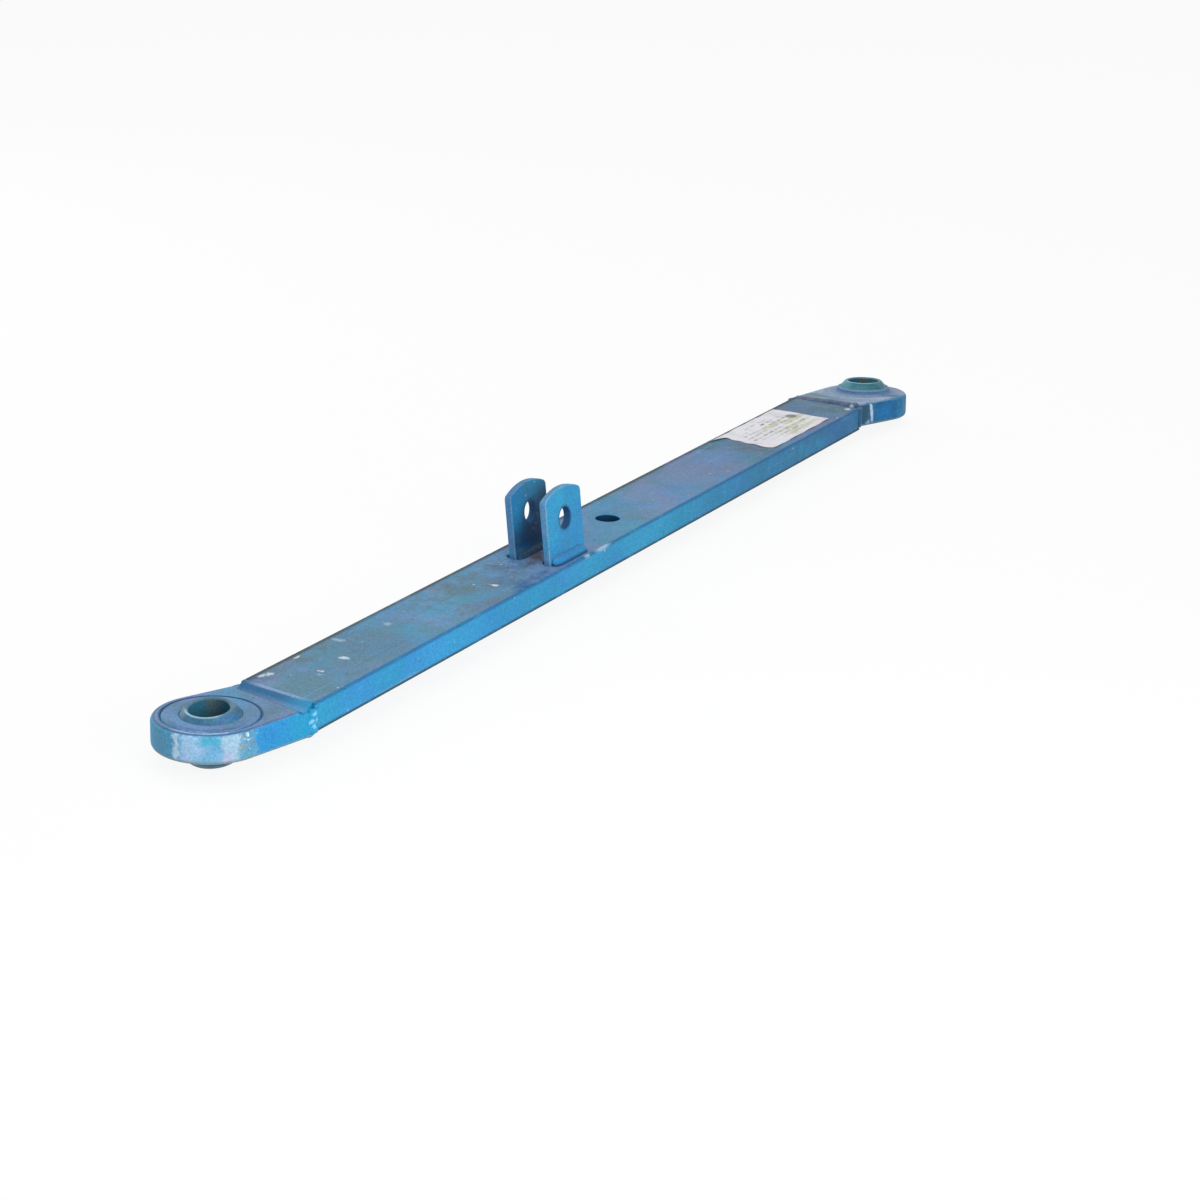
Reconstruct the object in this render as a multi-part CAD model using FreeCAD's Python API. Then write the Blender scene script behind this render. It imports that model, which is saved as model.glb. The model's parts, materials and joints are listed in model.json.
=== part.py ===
import FreeCAD, Part
import math
import os

# Lower link arm of a tractor's three-point hitch: a flat steel bar with a ball end welded on
# each end and a two-ear bracket welded on top. Millimetres. The arm lies flat.
# The origin is the centre of the front ball. +X runs along the bar to the rear ball,
# +Y to the left, +Z up, out of the side that carries the ears.

# Distance between the two balls along the bar, and from each ball to the bar's end
ballSpacing = 1022.0
frontNeckReach = 52.0
rearNeckReach = 64.0

# Flat bar
barWidth = 68.4
barThickness = 22.0
barEdgeRadius = 1.2
barEndSkew = 8.5
barCentreY = -19.5
barTopZ = 17.1

# Hole for the lift rod's pin, through the bar
rodHoleRadius = 10.25
rodHoleX = 529.0
rodHoleChamfer = 0.5

# Swivel ball, the same at both ends, and how far the front one rests turned towards its own end
ballRadius = 25.6
ballWidth = 38.5
ballBoreRadius = 14.35
ballBoreChamfer = 1.0
ballClearance = 0.3
frontBallTilt = 6.0

# Forged eye, the same at both ends apart from the turn of its neck
eyeRadius = 41.2
eyeThickness = 22.0
eyeRimRadius = 4.0
seatHalfHeight = 13.6
neckTaper = 5.6
hubTipRadius = 25.0
hubBaseRadius = 29.0
hubTipRounding = 1.2

# Retaining ring in the eye's counterbore, which closes the seat over the ball
ringRadius = 34.5
ringFit = 0.1
ringChamfer = 1.0
counterboreChamfer = 0.7

# How far each neck turns in plan, and where the rear eye sits beside and above the bar's faces
frontNeckTurn = 18.2
rearEyeY = -28.0
rearNeckTurn = 11.0
rearTopRise = 0.5

# How far the whole rear ball end is bent down and twisted, its left side down, at its joint
rearBend = 3.5
rearTwist = 3.0
rearNeckSpare = 3.0

# Bracket of two ears, welded on a little right of the bar's middle and leaning to the left
earThickness = 6.0
earGap = 25.4
earMiddleY = -24.5
earLean = 6.5
earLength = 55.6
earShoulderHeight = 50.8
earHeight = 57.4
earCentreX = 420.6
earPinRadius = 8.75
earPinHeight = 32.4
earCornerRadius = 4.0
earEdgeBreak = 0.8
earFootSpare = 3.0

# Weld beads
earOuterLeg = 6.0
earInnerLeg = 4.5
filletBulge = 0.18
rampLength = 10.0
rampSkew = 4.5
rampOverlap = 3.0
rampRise = 0.7
rampRootShare = 0.75
rampKneeReach = 0.45
rampKneeRise = 0.62
weldPenetration = 1.2
buttWidth = 8.0
buttDepth = 5.0
buttCrown = 0.9
sideWidth = 7.0
sideDepth = 4.0
sideCrown = 1.0
sideBulge = 0.3
weldInset = 2.0

# Paper label stuck on the bar's top
labelLength = 119.0
labelRearGap = 52.0
labelRightMargin = 8.3
labelLeftMargin = 3.4
labelSlant = 9.0
labelCornerRadius = 9.0
labelThickness = 0.2

# Coarsest difference between two places that counts as none
tolerance = 0.01

# How far the middle of a quarter arc lies in from either of its tangents, as a share of the radius
arcInset = 1 - math.sqrt(0.5)

up = FreeCAD.Vector(0, 0, 1)
ahead = FreeCAD.Vector(1, 0, 0)
leftward = FreeCAD.Vector(0, 1, 0)
origin = FreeCAD.Vector(0, 0, 0)
barFrontX = frontNeckReach
barRearX = ballSpacing - rearNeckReach
barBottomZ = barTopZ - barThickness
barLeftY = barCentreY + barWidth / 2
barRightY = barCentreY - barWidth / 2
rearPlateTopZ = barTopZ + rearTopRise
rearBallZ = rearPlateTopZ - eyeThickness + seatHalfHeight
frontPlateTopZ = seatHalfHeight
frontPlateBottomZ = seatHalfHeight - eyeThickness
frontEyeCentre = FreeCAD.Vector(0, 0, 0)
rearEyeCentre = FreeCAD.Vector(ballSpacing, rearEyeY, rearBallZ)
rearPivot = FreeCAD.Vector(barRearX, barCentreY, rearPlateTopZ - eyeThickness / 2)


def face_of(points):
    """Flat face inside a closed run of points."""
    return Part.Face(Part.makePolygon(points + [points[0]]))


def turned(direction, degrees):
    """The direction, turned about Z."""
    return FreeCAD.Rotation(up, degrees).multVec(direction)


def line_meets_joint(point, direction, jointX, skew):
    """Where a line in plan crosses the joint between bar and eye, a plane that is skewed in plan."""
    slope = math.tan(math.radians(skew))
    gap = jointX + slope * (point.y - barCentreY) - point.x
    step = gap / (direction.x - slope * direction.y)
    return point + direction * step


def joint_point(jointX, skew, y, z):
    """Point of the joint plane at a given width and height."""
    return FreeCAD.Vector(jointX + math.tan(math.radians(skew)) * (y - barCentreY), y, z)


def neck_corners(centre, side, turn, jointX, skew):
    """Tangent points and end corners of the neck, left flank first then right, in plan."""
    forward = turned(FreeCAD.Vector(side, 0, 0), -turn)
    corners = []
    for hand in (side, -side):
        spoke = turned(forward, hand * (90 - neckTaper))
        flank = turned(forward, -hand * neckTaper)
        tangent = FreeCAD.Vector(centre.x, centre.y, 0) + spoke * eyeRadius
        corners.append((tangent, line_meets_joint(tangent, flank, jointX, skew)))
    return corners


def eye_outline(centre, side, turn, jointX, skew):
    """Outline in plan: the round eye, its two flanks and the end that meets the bar."""
    (leftTangent, leftEnd), (rightTangent, rightEnd) = neck_corners(centre, side, turn, jointX, skew)
    outermost = FreeCAD.Vector(centre.x, centre.y, 0) - turned(FreeCAD.Vector(side, 0, 0), -turn) * eyeRadius
    edges = [
        Part.Arc(leftTangent, outermost, rightTangent).toShape(),
        Part.LineSegment(rightTangent, rightEnd).toShape(),
        Part.LineSegment(rightEnd, leftEnd).toShape(),
        Part.LineSegment(leftEnd, leftTangent).toShape(),
    ]
    return Part.Face(Part.Wire(edges))


def on_joint(edge, jointX, skew):
    """True where both ends of an edge lie on the joint plane."""
    slope = math.tan(math.radians(skew))
    gaps = [abs(v.X - jointX - slope * (v.Y - barCentreY)) for v in edge.Vertexes]
    return max(gaps) < tolerance


def eye_plate(centre, side, turn, jointX, skew):
    """Plate of the forging with its rim rounded, its ball centre at the height of the plan."""
    bottom = seatHalfHeight - eyeThickness
    plate = eye_outline(centre, side, turn, jointX, skew).extrude(up * eyeThickness)
    plate.translate(up * bottom)
    rim = []
    for edge in plate.Edges:
        level = abs(edge.BoundBox.ZMax - edge.BoundBox.ZMin) < tolerance
        if level and not on_joint(edge, jointX, skew):
            rim.append(edge)
    return plate.makeFillet(eyeRimRadius, rim)


def hub():
    """Collar round the seat that stands below the plate, flared where it joins the plate."""
    plateBottom = seatHalfHeight - eyeThickness
    flare = hubBaseRadius - hubTipRadius
    flareTop = FreeCAD.Vector(hubBaseRadius, 0, plateBottom)
    flareFoot = FreeCAD.Vector(hubTipRadius, 0, plateBottom - flare)
    bend = flare * arcInset
    flareMiddle = FreeCAD.Vector(hubTipRadius + bend, 0, plateBottom - bend)
    tipStart = FreeCAD.Vector(hubTipRadius, 0, -seatHalfHeight + hubTipRounding)
    tipEnd = FreeCAD.Vector(hubTipRadius - hubTipRounding, 0, -seatHalfHeight)
    edges = [
        Part.LineSegment(FreeCAD.Vector(0, 0, 0), FreeCAD.Vector(hubBaseRadius, 0, 0)).toShape(),
        Part.LineSegment(FreeCAD.Vector(hubBaseRadius, 0, 0), flareTop).toShape(),
        Part.Arc(flareTop, flareMiddle, flareFoot).toShape(),
    ]
    if flareFoot.z - tipStart.z > tolerance:
        edges.append(Part.LineSegment(flareFoot, tipStart).toShape())
    else:
        tipStart = flareFoot
    edges.append(Part.LineSegment(tipStart, tipEnd).toShape())
    edges.append(Part.LineSegment(tipEnd, FreeCAD.Vector(0, 0, -seatHalfHeight)).toShape())
    edges.append(Part.LineSegment(FreeCAD.Vector(0, 0, -seatHalfHeight), origin).toShape())
    return Part.Face(Part.Wire(edges)).revolve(origin, up, 360)


def forged_eye(centre, side, turn, jointX, skew, hubUp):
    """Eye forging: rounded plate, hub, ball seat and the counterbore for the ring."""
    inPlan = FreeCAD.Vector(centre.x, centre.y, 0)
    seat = Part.makeSphere(ballRadius + ballClearance)
    counterboreRadius = ringRadius + ringFit
    counterbore = Part.makeCylinder(counterboreRadius, seatHalfHeight)
    chamferCone = Part.makeCone(
        counterboreRadius,
        counterboreRadius + counterboreChamfer,
        counterboreChamfer,
        up * (seatHalfHeight - counterboreChamfer),
    )
    fitting = hub()
    fitting.translate(inPlan)
    eye = eye_plate(inPlan, side, turn, jointX, skew).fuse(fitting)
    for tool in (seat, counterbore, chamferCone):
        tool.translate(inPlan)
        eye = eye.cut(tool)
    if hubUp:
        eye = eye.mirror(inPlan, up)
    eye.translate(up * centre.z)
    return eye.removeSplitter()


def bent(shape):
    """The shape, twisted and then bent down about the middle of the rear joint."""
    shape.rotate(rearPivot, ahead, -rearTwist)
    shape.rotate(rearPivot, leftward, rearBend)
    return shape


def bent_rear_eye():
    """The rear eye after its bend, made with a longer neck that is cut off square at the bar."""
    eye = bent(forged_eye(rearEyeCentre, -1, rearNeckTurn, barRearX - rearNeckSpare, 0, True))
    corner = FreeCAD.Vector(barRearX - ballSpacing, -ballSpacing, -ballSpacing)
    return eye.cut(Part.makeBox(ballSpacing, ballSpacing * 2, ballSpacing * 2, corner))


def rear_plate_top(y):
    """Height of the twisted rear eye's top where it meets the bar, at a given width."""
    return rearPlateTopZ - math.tan(math.radians(rearTwist)) * (y - barCentreY)


def retaining_ring(centre, hubUp):
    """Ring with the other half of the seat inside it, its outer edge chamfered."""
    top = seatHalfHeight
    blank = Part.makeCylinder(ringRadius, top)
    rim = [e for e in blank.Edges if abs(e.BoundBox.ZMin - top) < tolerance]
    ring = blank.makeChamfer(ringChamfer, rim).cut(Part.makeSphere(ballRadius + ballClearance))
    if hubUp:
        ring = ring.mirror(origin, up)
    ring.translate(centre)
    return ring


def swivel_ball(centre, tilt):
    """Ball with two flats and a chamfered bore, turned as one profile, its top tilted to the front."""
    half = ballWidth / 2
    lip = math.sqrt(ballRadius ** 2 - half ** 2)
    bore = ballBoreRadius
    mouth = bore + ballBoreChamfer
    shoulder = half - ballBoreChamfer
    edges = [
        Part.LineSegment(FreeCAD.Vector(bore, 0, -shoulder), FreeCAD.Vector(mouth, 0, -half)).toShape(),
        Part.LineSegment(FreeCAD.Vector(mouth, 0, -half), FreeCAD.Vector(lip, 0, -half)).toShape(),
        Part.Arc(
            FreeCAD.Vector(lip, 0, -half), FreeCAD.Vector(ballRadius, 0, 0), FreeCAD.Vector(lip, 0, half)
        ).toShape(),
        Part.LineSegment(FreeCAD.Vector(lip, 0, half), FreeCAD.Vector(mouth, 0, half)).toShape(),
        Part.LineSegment(FreeCAD.Vector(mouth, 0, half), FreeCAD.Vector(bore, 0, shoulder)).toShape(),
        Part.LineSegment(FreeCAD.Vector(bore, 0, shoulder), FreeCAD.Vector(bore, 0, -shoulder)).toShape(),
    ]
    ball = Part.Face(Part.Wire(edges)).revolve(origin, up, 360)
    ball.rotate(origin, leftward, -tilt)
    ball.translate(centre)
    return ball


def flat_bar():
    """Bar stock with rolled edges, its front end sawn askew, and the lift rod's hole."""
    plan = [
        joint_point(barFrontX, barEndSkew, barRightY, 0),
        FreeCAD.Vector(barRearX, barRightY, 0),
        FreeCAD.Vector(barRearX, barLeftY, 0),
        joint_point(barFrontX, barEndSkew, barLeftY, 0),
    ]
    bar = face_of(plan).extrude(up * barThickness)
    bar.translate(up * barBottomZ)
    longEdges = [e for e in bar.Edges if e.BoundBox.XLength > barWidth]
    bar = bar.makeFillet(barEdgeRadius, longEdges)
    centre = FreeCAD.Vector(rodHoleX, barCentreY, barBottomZ)
    bar = bar.cut(Part.makeCylinder(rodHoleRadius, barThickness, centre))
    rounds = [e for e in bar.Edges if isinstance(e.Curve, Part.Circle)]
    mouths = [e for e in rounds if abs(e.Curve.Radius - rodHoleRadius) < tolerance]
    return bar.makeChamfer(rodHoleChamfer, mouths)


def clevis_ear(hand):
    """One ear of the bracket: sheared plate with cornered shoulders and an arched top. It leans from
    its inner foot line, its foot is cut flush with the bar, and its pin hole is bored level."""
    half = earLength / 2
    corners = [
        FreeCAD.Vector(-half, 0, -earFootSpare),
        FreeCAD.Vector(half, 0, -earFootSpare),
        FreeCAD.Vector(half, 0, earShoulderHeight),
        FreeCAD.Vector(-half, 0, earShoulderHeight),
    ]
    outline = [
        Part.LineSegment(corners[0], corners[1]).toShape(),
        Part.LineSegment(corners[1], corners[2]).toShape(),
        Part.Arc(corners[2], FreeCAD.Vector(0, 0, earHeight), corners[3]).toShape(),
        Part.LineSegment(corners[3], corners[0]).toShape(),
    ]
    ear = Part.Face(Part.Wire(outline)).extrude(leftward * hand * earThickness)
    crosswise = [e for e in ear.Edges if e.BoundBox.YLength > earThickness / 2]
    shoulders = [e for e in crosswise if abs(e.BoundBox.ZMin - earShoulderHeight) < tolerance]
    ear = ear.makeFillet(earCornerRadius, shoulders)
    rim = [e for e in ear.Edges if e.BoundBox.YLength < tolerance and e.BoundBox.ZMax > earEdgeBreak]
    ear = ear.makeChamfer(earEdgeBreak, rim)
    ear.rotate(origin, ahead, -earLean)
    ear.translate(FreeCAD.Vector(earCentreX, earMiddleY + hand * earGap / 2, barTopZ))
    metal = Part.makeBox(
        ballSpacing, barWidth, barThickness, FreeCAD.Vector(barFrontX, barRightY, barBottomZ)
    )
    pinStart = FreeCAD.Vector(earCentreX, barRightY, barTopZ + earPinHeight)
    return ear.cut(metal).cut(Part.makeCylinder(earPinRadius, barWidth, pinStart, leftward))


def fillet_section(corner, along, upward, leg):
    """Bead section in a corner: two legs and a face that bulges a little, as four points and an arc."""
    foot = corner + along * leg
    head = corner + upward * leg
    middle = (foot + head) * 0.5 + (along + upward).normalize() * leg * filletBulge
    edges = [
        Part.LineSegment(corner, foot).toShape(),
        Part.Arc(foot, middle, head).toShape(),
        Part.LineSegment(head, corner).toShape(),
    ]
    return Part.Face(Part.Wire(edges))


def ear_weld(earFaceY, outward, leg):
    """Fillet bead along the foot of a leaning ear, a little shorter than the ear."""
    startX = earCentreX - earLength / 2 + weldInset
    corner = FreeCAD.Vector(startX, earFaceY, barTopZ)
    alongEar = FreeCAD.Rotation(ahead, -earLean).multVec(up)
    section = fillet_section(corner, leftward * outward, alongEar, leg)
    return section.extrude(ahead * (earLength - 2 * weldInset))


def ruled(sectionA, sectionB):
    """Solid between two like sections."""
    wires = [Part.makePolygon(s + [s[0]]) for s in (sectionA, sectionB)]
    return Part.makeLoft(wires, True, True)


def step_bead(lowZ, highZ, towards, leftY, rightY):
    """Bead that ramps from a higher face over the front joint down to a lower one. towards is -1
    where the lower face is the eye's top and +1 where it is the bar's underside."""
    upward = math.copysign(1, highZ - lowZ)
    rise = abs(highZ - lowZ)
    sections = []
    for y in (rightY, leftY):
        joint = joint_point(barFrontX, barEndSkew, y, 0).x
        reach = rampLength - math.tan(math.radians(rampSkew)) * (y - barCentreY)
        profile = [
            (0, -weldPenetration),
            (reach * rampRootShare, -weldPenetration),
            (reach, 0),
            (reach * rampKneeReach, rise * rampKneeRise),
            (0, rise + rampRise),
            (-rampOverlap, rise),
            (0, rise - rampRise),
        ]
        sections.append([FreeCAD.Vector(joint + towards * along, y, lowZ + upward * height)
                         for along, height in profile])
    return ruled(sections[0], sections[1])


def butt_bead(barZ, belowTop, outward, leftY, rightY):
    """Bead that fills a V across the rear joint and crowns over its prouder side, between a face of
    the bar and the eye's face that lies belowTop under its top."""
    half = buttWidth / 2
    sections = []
    for y in (rightY, leftY):
        eyeZ = rear_plate_top(y) - belowTop
        rootZ = (barZ + eyeZ) / 2 - outward * buttDepth
        crownZ = outward * (max(outward * barZ, outward * eyeZ) + buttCrown)
        sections.append([
            FreeCAD.Vector(barRearX - half, y, barZ),
            FreeCAD.Vector(barRearX, y, rootZ),
            FreeCAD.Vector(barRearX + half, y, eyeZ),
            FreeCAD.Vector(barRearX + half / 2, y, crownZ),
            FreeCAD.Vector(barRearX - half / 2, y, crownZ),
        ])
    return ruled(sections[0], sections[1])


def side_bead(barCorner, neckCorner, alongBar, alongNeck, outward, lowZ, highZ):
    """Upright bead at one side of a joint, from the bar's side round to the neck's flank. It
    reaches further along whichever of the two stands back and crowns over the prouder corner."""
    step = (neckCorner - barCorner).dot(outward)
    onBar = barCorner + alongBar * (sideWidth / 2 + max(step, 0))
    onNeck = neckCorner + alongNeck * (sideWidth / 2 + max(-step, 0))
    root = (neckCorner if step < 0 else barCorner) - outward * sideDepth
    crown = (neckCorner if step > 0 else barCorner) + outward * sideCrown
    bulge = outward * sideCrown * sideBulge
    points = [onBar, root, onNeck, (onNeck + crown) * 0.5 + bulge, crown, (onBar + crown) * 0.5 + bulge]
    bead = face_of(points).extrude(up * (highZ - lowZ))
    bead.translate(up * lowZ)
    return bead


def joint_span(centre, side, turn, jointX, skew):
    """Left and right limit of the beads on top and below: a little inside both bar and neck."""
    (_, leftEnd), (_, rightEnd) = neck_corners(centre, side, turn, jointX, skew)
    leftY = min(barLeftY, leftEnd.y) - barEdgeRadius
    rightY = max(barRightY, rightEnd.y) + barEdgeRadius
    return leftY, rightY


def side_beads(centre, side, turn, jointX, skew, spans):
    """Upright beads at the left and right of one joint, each between the two heights of its span."""
    corners = neck_corners(centre, side, turn, jointX, skew)
    barSides = ((barLeftY, 1), (barRightY, -1))
    beads = []
    for (tangent, end), (barY, hand), (lowZ, highZ) in zip(corners, barSides, spans):
        barCorner = joint_point(jointX, skew, barY, 0)
        alongNeck = (tangent - end).normalize()
        beads.append(side_bead(barCorner, end, ahead * side, alongNeck, leftward * hand, lowZ, highZ))
    return beads


def paper_label():
    """Rectangle of paper on the bar's top, its front edge slanted and its front right corner round."""
    rearX = barRearX - labelRearGap
    frontX = rearX - labelLength
    leftY = barLeftY - labelLeftMargin
    rightY = barRightY + labelRightMargin
    bend = labelCornerRadius * arcInset
    arcStart = FreeCAD.Vector(frontX, rightY + labelCornerRadius, 0)
    arcMiddle = FreeCAD.Vector(frontX + bend, rightY + bend, 0)
    arcEnd = FreeCAD.Vector(frontX + labelCornerRadius, rightY, 0)
    frontLeft = FreeCAD.Vector(frontX + labelSlant, leftY, 0)
    rearLeft = FreeCAD.Vector(rearX, leftY, 0)
    rearRight = FreeCAD.Vector(rearX, rightY, 0)
    edges = [
        Part.LineSegment(frontLeft, arcStart).toShape(),
        Part.Arc(arcStart, arcMiddle, arcEnd).toShape(),
        Part.LineSegment(arcEnd, rearRight).toShape(),
        Part.LineSegment(rearRight, rearLeft).toShape(),
        Part.LineSegment(rearLeft, frontLeft).toShape(),
    ]
    label = Part.Face(Part.Wire(edges)).extrude(up * labelThickness)
    label.translate(up * barTopZ)
    return label


def save(name, shape):
    """Write one piece as a STEP file."""
    assert shape.isValid(), name
    shape.exportStep(os.path.join("parts", name + ".step"))
    box = shape.BoundBox
    print(name, len(shape.Solids), round(shape.Volume), [round(v, 2) for v in (
        box.XMin, box.YMin, box.ZMin, box.XMax, box.YMax, box.ZMax)])


def front_welds():
    """Runs that join the front eye, which lies lower than the bar, to the bar's skewed end."""
    leftY, rightY = joint_span(frontEyeCentre, 1, frontNeckTurn, barFrontX, barEndSkew)
    top = step_bead(frontPlateTopZ, barTopZ, -1, leftY, rightY)
    bottom = step_bead(barBottomZ, frontPlateBottomZ, 1, leftY, rightY)
    spans = [(barBottomZ, frontPlateTopZ)] * 2
    left, right = side_beads(frontEyeCentre, 1, frontNeckTurn, barFrontX, barEndSkew, spans)
    return {
        "front_weld_top": top,
        "front_weld_bottom": bottom,
        "front_weld_left": left.cut(top).cut(bottom),
        "front_weld_right": right.cut(top).cut(bottom),
    }


def rear_welds():
    """Runs that join the rear eye to the bar's square end."""
    leftY, rightY = joint_span(rearEyeCentre, -1, rearNeckTurn, barRearX, 0)
    top = butt_bead(barTopZ, 0, 1, leftY, rightY)
    bottom = butt_bead(barBottomZ, eyeThickness, -1, leftY, rightY)
    spans = []
    for y in (barLeftY, barRightY):
        eyeTop = rear_plate_top(y)
        spans.append((max(barBottomZ, eyeTop - eyeThickness), min(barTopZ, eyeTop)))
    left, right = side_beads(rearEyeCentre, -1, rearNeckTurn, barRearX, 0, spans)
    return {
        "rear_weld_top": top,
        "rear_weld_bottom": bottom,
        "rear_weld_left": left.cut(top).cut(bottom),
        "rear_weld_right": right.cut(top).cut(bottom),
    }


def ear_welds():
    """Outer and inner run at the foot of each ear."""
    inner = earGap / 2
    outer = inner + earThickness / math.cos(math.radians(earLean))
    return {
        "left_ear_outer_weld": ear_weld(earMiddleY + outer, 1, earOuterLeg),
        "left_ear_inner_weld": ear_weld(earMiddleY + inner, -1, earInnerLeg),
        "right_ear_inner_weld": ear_weld(earMiddleY - inner, 1, earInnerLeg),
        "right_ear_outer_weld": ear_weld(earMiddleY - outer, -1, earOuterLeg),
    }


def less_beads(piece, beads):
    """The piece without the metal that the beads have melted away."""
    for bead in beads:
        piece = piece.cut(bead)
    return piece


frontBeads = front_welds()
rearBeads = rear_welds()
frontEye = forged_eye(frontEyeCentre, 1, frontNeckTurn, barFrontX, barEndSkew, False)

pieces = {
    "arm_bar": less_beads(flat_bar(), list(frontBeads.values()) + list(rearBeads.values())),
    "front_eye": less_beads(frontEye, frontBeads.values()),
    "rear_eye": less_beads(bent_rear_eye(), rearBeads.values()),
    "front_retaining_ring": retaining_ring(frontEyeCentre, False),
    "rear_retaining_ring": bent(retaining_ring(rearEyeCentre, True)),
    "front_ball": swivel_ball(frontEyeCentre, frontBallTilt),
    "rear_ball": bent(swivel_ball(rearEyeCentre, 0)),
    "left_ear": clevis_ear(1),
    "right_ear": clevis_ear(-1),
    "paper_label": paper_label(),
}
pieces.update(frontBeads)
pieces.update(rearBeads)
pieces.update(ear_welds())

os.makedirs("parts", exist_ok=True)
for name, shape in pieces.items():
    save(name, shape)
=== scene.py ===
import json
import math

import bmesh
import bpy
import numpy as np
from mathutils import Matrix, Vector


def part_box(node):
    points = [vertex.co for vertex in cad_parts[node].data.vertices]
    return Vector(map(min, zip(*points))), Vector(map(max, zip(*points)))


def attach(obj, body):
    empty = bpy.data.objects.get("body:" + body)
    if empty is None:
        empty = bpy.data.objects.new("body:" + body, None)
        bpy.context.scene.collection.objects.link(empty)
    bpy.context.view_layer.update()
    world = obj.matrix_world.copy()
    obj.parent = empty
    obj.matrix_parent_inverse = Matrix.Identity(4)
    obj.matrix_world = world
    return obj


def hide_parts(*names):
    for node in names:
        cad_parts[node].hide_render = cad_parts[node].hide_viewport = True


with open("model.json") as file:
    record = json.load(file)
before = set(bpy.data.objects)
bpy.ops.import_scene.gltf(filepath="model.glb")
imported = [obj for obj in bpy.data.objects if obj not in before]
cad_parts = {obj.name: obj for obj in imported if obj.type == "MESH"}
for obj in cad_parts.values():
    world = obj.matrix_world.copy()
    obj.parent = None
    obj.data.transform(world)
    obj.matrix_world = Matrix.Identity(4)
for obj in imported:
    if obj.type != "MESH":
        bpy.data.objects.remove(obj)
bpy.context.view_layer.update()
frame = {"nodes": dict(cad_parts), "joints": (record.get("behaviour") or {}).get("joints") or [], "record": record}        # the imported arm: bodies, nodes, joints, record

nodes = frame["nodes"]
joints = {j["name"]: Vector(j["pos_m"]) for j in frame["joints"]}
mounts = {m["name"]: m for m in frame["record"]["mounts"]}
frontBall = joints["front_ball_swivel"]
rearBall = joints["rear_ball_swivel"]
barLow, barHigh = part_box("arm_bar")
scene = bpy.context.scene
rng = np.random.default_rng(11)


# camera, solved from the straight edges of the bar and the outlines of both eyes

camera = {
    "place": (-1.61155, -1.16615, 0.78368),    # metres from the front ball's centre
    "yaw": 28.28, "pitch": 19.04, "roll": 1.51,
    "lens": 93.0, "sensor": 36.0, "farClip": 60,
}


def aimCamera(values):
    # forward is the yaw direction tipped down by the pitch, then the picture is rolled about it
    yaw, pitch, roll = (math.radians(values[k]) for k in ("yaw", "pitch", "roll"))
    level = Vector((math.cos(yaw), math.sin(yaw), 0))
    up = Vector((0, 0, 1))
    side = level.cross(up)
    forward = level * math.cos(pitch) - up * math.sin(pitch)
    above = level * math.sin(pitch) + up * math.cos(pitch)
    right = side * math.cos(roll) + above * math.sin(roll)
    top = above * math.cos(roll) - side * math.sin(roll)
    data = bpy.data.cameras.new("photoCamera")
    data.lens = values["lens"]
    data.sensor_width = values["sensor"]
    data.clip_end = values["farClip"]
    made = bpy.data.objects.new("photoCamera", data)
    turn = Matrix((right, top, -forward)).transposed().to_4x4()
    made.matrix_world = Matrix.Translation(values["place"]) @ turn
    scene.collection.objects.link(made)
    scene.camera = made


aimCamera(camera)
scene.view_settings.view_transform = "Standard"
print("camera set")


# small helpers for node trees

def tone(colour):
    # a screen colour of 0 to 255, made linear
    share = np.array(colour, float) / 255
    linear = np.where(share <= 0.04045, share / 12.92, ((share + 0.055) / 1.055) ** 2.4)
    return (*linear.tolist(), 1.0)


def newMaterial(name):
    material = bpy.data.materials.new(name)
    material.use_nodes = True
    return material, material.node_tree


def addNode(tree, kind, inputs=None, **settings):
    # a node with its settings made and its inputs either linked or typed in
    node = tree.nodes.new("ShaderNode" + kind)
    for key, value in settings.items():
        setattr(node, key, value)
    for key, value in (inputs or {}).items():
        if isinstance(value, bpy.types.NodeSocket):
            tree.links.new(value, node.inputs[key])
        else:
            node.inputs[key].default_value = value
    return node


def maths(tree, operation, a, b=0.0):
    return addNode(tree, "Math", {0: a, 1: b}, operation=operation).outputs[0]


def product(tree, *shares):
    total = shares[0]
    for share in shares[1:]:
        total = maths(tree, "MULTIPLY", total, share)
    return total


def vector(tree, operation, a, b=(0, 0, 0)):
    return addNode(tree, "VectorMath", {0: a, 1: b}, operation=operation).outputs[0]


def lengthOf(tree, a):
    return addNode(tree, "VectorMath", {0: a}, operation="LENGTH").outputs["Value"]


def parts(tree, a):
    # the three parts of a vector
    return addNode(tree, "SeparateXYZ", {0: a}).outputs


def towards(tree, a, direction):
    # how far a vector reaches in a level direction
    split = parts(tree, a)
    return maths(tree, "ADD", product(tree, split[0], direction[0]), product(tree, split[1], direction[1]))


def blendColours(tree, share, a, b, how="MIX"):
    a = a if isinstance(a, bpy.types.NodeSocket) else tone(a)
    b = b if isinstance(b, bpy.types.NodeSocket) else tone(b)
    return addNode(tree, "Mix", {0: share, 6: a, 7: b}, data_type="RGBA", blend_type=how).outputs[2]


def step(tree, value, low, high):
    # smooth step from 0 at low to 1 at high
    return addNode(tree, "MapRange", {0: value, 1: low, 2: high}, interpolation_type="SMOOTHSTEP").outputs[0]


def band(tree, value, low, high, soft):
    # 1 between low and high, fading over soft to either side
    return product(tree, step(tree, value, low - soft, low + soft),
                   step(tree, value, high + soft, high - soft))


def noise(tree, place, scale, detail=4.0, rough=0.55, distortion=0.0, output="Fac"):
    return addNode(tree, "TexNoise", {"Vector": place, "Scale": scale, "Detail": detail, "Roughness": rough,
                                      "Distortion": distortion}).outputs[output]


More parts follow.
